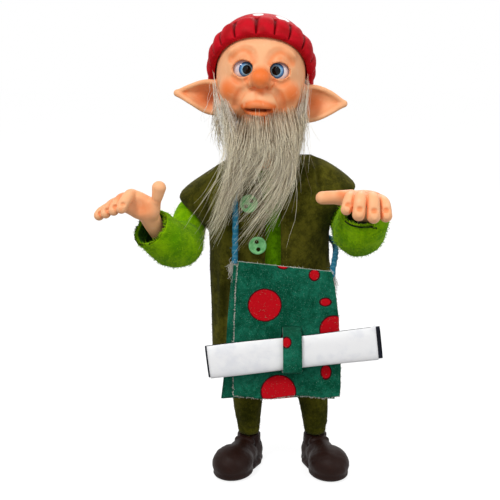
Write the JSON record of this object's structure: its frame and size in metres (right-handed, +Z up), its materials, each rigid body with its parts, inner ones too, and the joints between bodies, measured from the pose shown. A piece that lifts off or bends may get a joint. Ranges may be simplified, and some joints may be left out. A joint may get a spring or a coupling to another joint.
{
  "type": "elf figurine",
  "caption": "Standing elf doll with modelled clay head, cap, hands and boots, sewn felt and plush clothes, and a shoulder bag holding a flat rolled scroll.",
  "frame": {"origin": "middle of the bounding box in plan, on the plane the boots stand on", "axes": "+Z up, the figure looks along -Y, +X to its own left"},
  "size_m": [0.1796, 0.1224, 0.3001],
  "materials": {
    "clay_skin": "matte",
    "eye_glass": "gloss",
    "clay_red": "satin",
    "grey_fur": "matte",
    "lime_plush": "matte",
    "olive_felt": "matte",
    "button_green": "gloss",
    "trouser_cloth": "matte",
    "clay_brown": "satin",
    "dotted_felt": "matte",
    "blue_yarn": "matte",
    "scroll_paper": "matte",
    "black_card": "matte",
    "stuffed_cloth": "matte",
    "wrapped_wire": "matte"
  },
  "bodies": {
    "root": {"head": "clay_skin", "eye_right": "eye_glass", "eye_left": "eye_glass", "cap": "clay_red", "beard": "grey_fur", "whisker_right": "grey_fur", "whisker_left": "grey_fur", "torso": "stuffed_cloth", "arm_right": "wrapped_wire", "arm_left": "wrapped_wire", "sweater_body": "lime_plush", "sleeve_right": "lime_plush", "sleeve_left": "lime_plush", "vest_front_right": "olive_felt", "vest_front_left": "olive_felt", "vest_back": "olive_felt", "button_upper": "button_green", "button_lower": "button_green", "trousers": "trouser_cloth", "leg_wire_right": "wrapped_wire", "leg_wire_left": "wrapped_wire", "boot_right": "clay_brown", "boot_left": "clay_brown", "bag_pouch": "dotted_felt", "bag_flap": "dotted_felt", "scroll_backing": "black_card", "scroll_paper": "scroll_paper", "bag_strap": "blue_yarn", "hand_right": "clay_skin", "hand_left": "clay_skin"}
  },
  "joints": []
}
